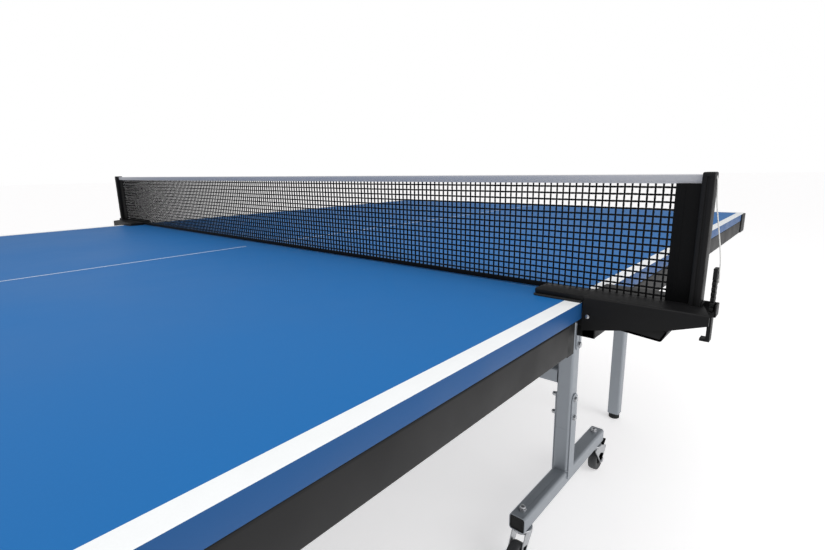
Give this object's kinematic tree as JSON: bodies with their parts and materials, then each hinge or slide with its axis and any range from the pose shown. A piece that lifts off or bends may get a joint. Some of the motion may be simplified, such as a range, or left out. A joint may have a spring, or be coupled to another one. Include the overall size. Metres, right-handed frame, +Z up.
{
  "type": "ping pong table",
  "caption": "Two-half rolling table tennis table: blue boards with white lines, T-foot chassis on castors, folding outer legs and a clip-on net set.",
  "frame": {"origin": "on the floor, under the middle of the net", "axes": "+X along the table from half a to half b, +Y across it, +Z up"},
  "size_m": [2.74, 1.798, 0.915],
  "materials": {
    "playing_board": "matt acrylic lacquer on particle board",
    "apron_steel": "satin dark grey powder coat",
    "frame_steel": "satin black powder coat",
    "grey_tube": "fine silver grey powder coat",
    "black_plastic": "moulded black plastic",
    "zinc": "bright zinc plate",
    "foot_rubber": "moulded rubber",
    "wheel_rubber": "moulded grey rubber",
    "clamp_steel": "satin black powder coat",
    "net_tape": "woven tape",
    "net_mesh": "knotted cord net",
    "cord": "braided cord"
  },
  "bodies": {
    "chassis_a": {"foot_beams_a": "grey_tube", "post_frame_a": "grey_tube", "cheek_plates_a": "grey_tube", "pivot_lugs_a": "grey_tube", "beam_plugs_a": "black_plastic", "chassis_fasteners_a": "zinc"},
    "top_a": {"board_a": "playing_board", "apron_rails_a": "apron_steel", "corner_guards_a": "black_plastic", "underframe_a": "frame_steel", "clamp_arms": "clamp_steel", "net_posts": "clamp_steel", "net_tape": "net_tape", "net_mesh": "net_mesh", "net_trim": "black_plastic"},
    "legs_a": {"leg_frame_a": "grey_tube", "rubber_feet_a": "foot_rubber"},
    "links_a": {"link_rods_a": "zinc"},
    "latch_a": {"latch_a": "frame_steel"},
    "chassis_b": {"foot_beams_b": "grey_tube", "post_frame_b": "grey_tube", "cheek_plates_b": "grey_tube", "pivot_lugs_b": "grey_tube", "beam_plugs_b": "black_plastic", "chassis_fasteners_b": "zinc"},
    "top_b": {"board_b": "playing_board", "apron_rails_b": "apron_steel", "corner_guards_b": "black_plastic", "underframe_b": "frame_steel"},
    "legs_b": {"leg_frame_b": "grey_tube", "rubber_feet_b": "foot_rubber"},
    "links_b": {"link_rods_b": "zinc"},
    "latch_b": {"latch_b": "frame_steel"},
    "fork_a1": {"castor_fork_a1": "zinc"},
    "wheel_a1": {"castor_wheel_a1": "wheel_rubber"},
    "fork_a2": {"castor_fork_a2": "zinc"},
    "wheel_a2": {"castor_wheel_a2": "wheel_rubber"},
    "pedal_a2": {"brake_pedal_a2": "zinc"},
    "fork_a3": {"castor_fork_a3": "zinc"},
    "wheel_a3": {"castor_wheel_a3": "wheel_rubber"},
    "fork_a4": {"castor_fork_a4": "zinc"},
    "wheel_a4": {"castor_wheel_a4": "wheel_rubber"},
    "pedal_a4": {"brake_pedal_a4": "zinc"},
    "fork_b1": {"castor_fork_b1": "zinc"},
    "wheel_b1": {"castor_wheel_b1": "wheel_rubber"},
    "fork_b2": {"castor_fork_b2": "zinc"},
    "wheel_b2": {"castor_wheel_b2": "wheel_rubber"},
    "pedal_b2": {"brake_pedal_b2": "zinc"},
    "fork_b3": {"castor_fork_b3": "zinc"},
    "wheel_b3": {"castor_wheel_b3": "wheel_rubber"},
    "fork_b4": {"castor_fork_b4": "zinc"},
    "wheel_b4": {"castor_wheel_b4": "wheel_rubber"},
    "pedal_b4": {"brake_pedal_b4": "zinc"},
    "jaw_near": {"net_jaw_near": "clamp_steel"},
    "rack_near": {"tension_rack_near": "black_plastic", "tension_cord_near": "cord"},
    "jaw_far": {"net_jaw_far": "clamp_steel"},
    "rack_far": {"tension_rack_far": "black_plastic", "tension_cord_far": "cord"}
  },
  "joints": [
    {"name": "halves_apart", "type": "slide", "parent": "chassis_a", "child": "chassis_b", "axis": [1, 0, 0], "range_m": [0, 0.4]},
    {"name": "tilt_a", "type": "hinge", "parent": "chassis_a", "child": "top_a", "pos_m": [-0.455, 0, 0.715], "axis": [0, 1, 0], "range_deg": [0, 90]},
    {"name": "legs_fold_a", "type": "hinge", "parent": "top_a", "child": "legs_a", "pos_m": [-1.125, 0, 0.715], "axis": [0, -1, 0], "range_deg": [0, 90]},
    {"name": "links_swing_a", "type": "hinge", "parent": "chassis_a", "child": "links_a", "pos_m": [-0.455, 0, 0.655], "axis": [0, 1, 0], "range_deg": [0, 90]},
    {"name": "latch_a_catch", "type": "hinge", "parent": "chassis_a", "child": "latch_a", "pos_m": [-0.52, 0, 0.68], "axis": [0, 1, 0], "range_deg": [0, 35]},
    {"name": "swivel_a1", "type": "hinge", "parent": "chassis_a", "child": "fork_a1", "pos_m": [-0.293, 0.527, 0.09], "axis": [0, 0, 1], "continuous": true},
    {"name": "roll_a1", "type": "hinge", "parent": "fork_a1", "child": "wheel_a1", "pos_m": [-0.261, 0.527, 0.035], "axis": [0, 1, 0], "continuous": true},
    {"name": "swivel_a2", "type": "hinge", "parent": "chassis_a", "child": "fork_a2", "pos_m": [-0.737, 0.527, 0.09], "axis": [0, 0, 1], "continuous": true},
    {"name": "roll_a2", "type": "hinge", "parent": "fork_a2", "child": "wheel_a2", "pos_m": [-0.769, 0.527, 0.035], "axis": [0, -1, 0], "continuous": true},
    {"name": "brake_a2", "type": "hinge", "parent": "fork_a2", "child": "pedal_a2", "pos_m": [-0.797, 0.527, 0.066], "axis": [0, -1, 0], "range_deg": [0, 12]},
    {"name": "swivel_a3", "type": "hinge", "parent": "chassis_a", "child": "fork_a3", "pos_m": [-0.293, -0.527, 0.09], "axis": [0, 0, 1], "continuous": true},
    {"name": "roll_a3", "type": "hinge", "parent": "fork_a3", "child": "wheel_a3", "pos_m": [-0.261, -0.527, 0.035], "axis": [0, 1, 0], "continuous": true},
    {"name": "swivel_a4", "type": "hinge", "parent": "chassis_a", "child": "fork_a4", "pos_m": [-0.737, -0.527, 0.09], "axis": [0, 0, 1], "continuous": true},
    {"name": "roll_a4", "type": "hinge", "parent": "fork_a4", "child": "wheel_a4", "pos_m": [-0.769, -0.527, 0.035], "axis": [0, -1, 0], "continuous": true},
    {"name": "brake_a4", "type": "hinge", "parent": "fork_a4", "child": "pedal_a4", "pos_m": [-0.797, -0.527, 0.066], "axis": [0, -1, 0], "range_deg": [0, 12]},
    {"name": "tilt_b", "type": "hinge", "parent": "chassis_b", "child": "top_b", "pos_m": [0.455, 0, 0.715], "axis": [0, -1, 0], "range_deg": [0, 90]},
    {"name": "legs_fold_b", "type": "hinge", "parent": "top_b", "child": "legs_b", "pos_m": [1.125, 0, 0.715], "axis": [0, 1, 0], "range_deg": [0, 90]},
    {"name": "links_swing_b", "type": "hinge", "parent": "chassis_b", "child": "links_b", "pos_m": [0.455, 0, 0.655], "axis": [0, -1, 0], "range_deg": [0, 90]},
    {"name": "latch_b_catch", "type": "hinge", "parent": "chassis_b", "child": "latch_b", "pos_m": [0.52, 0, 0.68], "axis": [0, -1, 0], "range_deg": [0, 35]},
    {"name": "swivel_b1", "type": "hinge", "parent": "chassis_b", "child": "fork_b1", "pos_m": [0.293, -0.527, 0.09], "axis": [0, 0, 1], "continuous": true},
    {"name": "roll_b1", "type": "hinge", "parent": "fork_b1", "child": "wheel_b1", "pos_m": [0.261, -0.527, 0.035], "axis": [0, -1, 0], "continuous": true},
    {"name": "swivel_b2", "type": "hinge", "parent": "chassis_b", "child": "fork_b2", "pos_m": [0.737, -0.527, 0.09], "axis": [0, 0, 1], "continuous": true},
    {"name": "roll_b2", "type": "hinge", "parent": "fork_b2", "child": "wheel_b2", "pos_m": [0.769, -0.527, 0.035], "axis": [0, 1, 0], "continuous": true},
    {"name": "brake_b2", "type": "hinge", "parent": "fork_b2", "child": "pedal_b2", "pos_m": [0.797, -0.527, 0.066], "axis": [0, 1, 0], "range_deg": [0, 12]},
    {"name": "swivel_b3", "type": "hinge", "parent": "chassis_b", "child": "fork_b3", "pos_m": [0.293, 0.527, 0.09], "axis": [0, 0, 1], "continuous": true},
    {"name": "roll_b3", "type": "hinge", "parent": "fork_b3", "child": "wheel_b3", "pos_m": [0.261, 0.527, 0.035], "axis": [0, -1, 0], "continuous": true},
    {"name": "swivel_b4", "type": "hinge", "parent": "chassis_b", "child": "fork_b4", "pos_m": [0.737, 0.527, 0.09], "axis": [0, 0, 1], "continuous": true},
    {"name": "roll_b4", "type": "hinge", "parent": "fork_b4", "child": "wheel_b4", "pos_m": [0.769, 0.527, 0.035], "axis": [0, 1, 0], "continuous": true},
    {"name": "brake_b4", "type": "hinge", "parent": "fork_b4", "child": "pedal_b4", "pos_m": [0.797, 0.527, 0.066], "axis": [0, 1, 0], "range_deg": [0, 12]},
    {"name": "jaw_near_open", "type": "hinge", "parent": "top_a", "child": "jaw_near", "pos_m": [0, -0.7705, 0.743], "axis": [-1, 0, 0], "range_deg": [0, 8], "stiffness_Nm_per_rad": 1.5, "springref_deg": -11.46},
    {"name": "rack_near_pull", "type": "slide", "parent": "top_a", "child": "rack_near", "axis": [0, 0, -1], "range_m": [0, 0.014], "deforming": ["tension_cord_near"]},
    {"name": "jaw_far_open", "type": "hinge", "parent": "top_a", "child": "jaw_far", "pos_m": [0, 0.7705, 0.743], "axis": [1, 0, 0], "range_deg": [0, 8], "stiffness_Nm_per_rad": 1.5, "springref_deg": -11.46},
    {"name": "rack_far_pull", "type": "slide", "parent": "top_a", "child": "rack_far", "axis": [0, 0, -1], "range_m": [0, 0.014], "deforming": ["tension_cord_far"]}
  ],
  "couplings": [
    {"joint": "legs_fold_a", "follows": "tilt_a", "ratio": 1},
    {"joint": "links_swing_a", "follows": "tilt_a", "ratio": 1},
    {"joint": "halves_apart", "follows": "tilt_a", "m_per_rad": 0.25},
    {"joint": "legs_fold_b", "follows": "tilt_b", "ratio": 1},
    {"joint": "links_swing_b", "follows": "tilt_b", "ratio": 1}
  ]
}
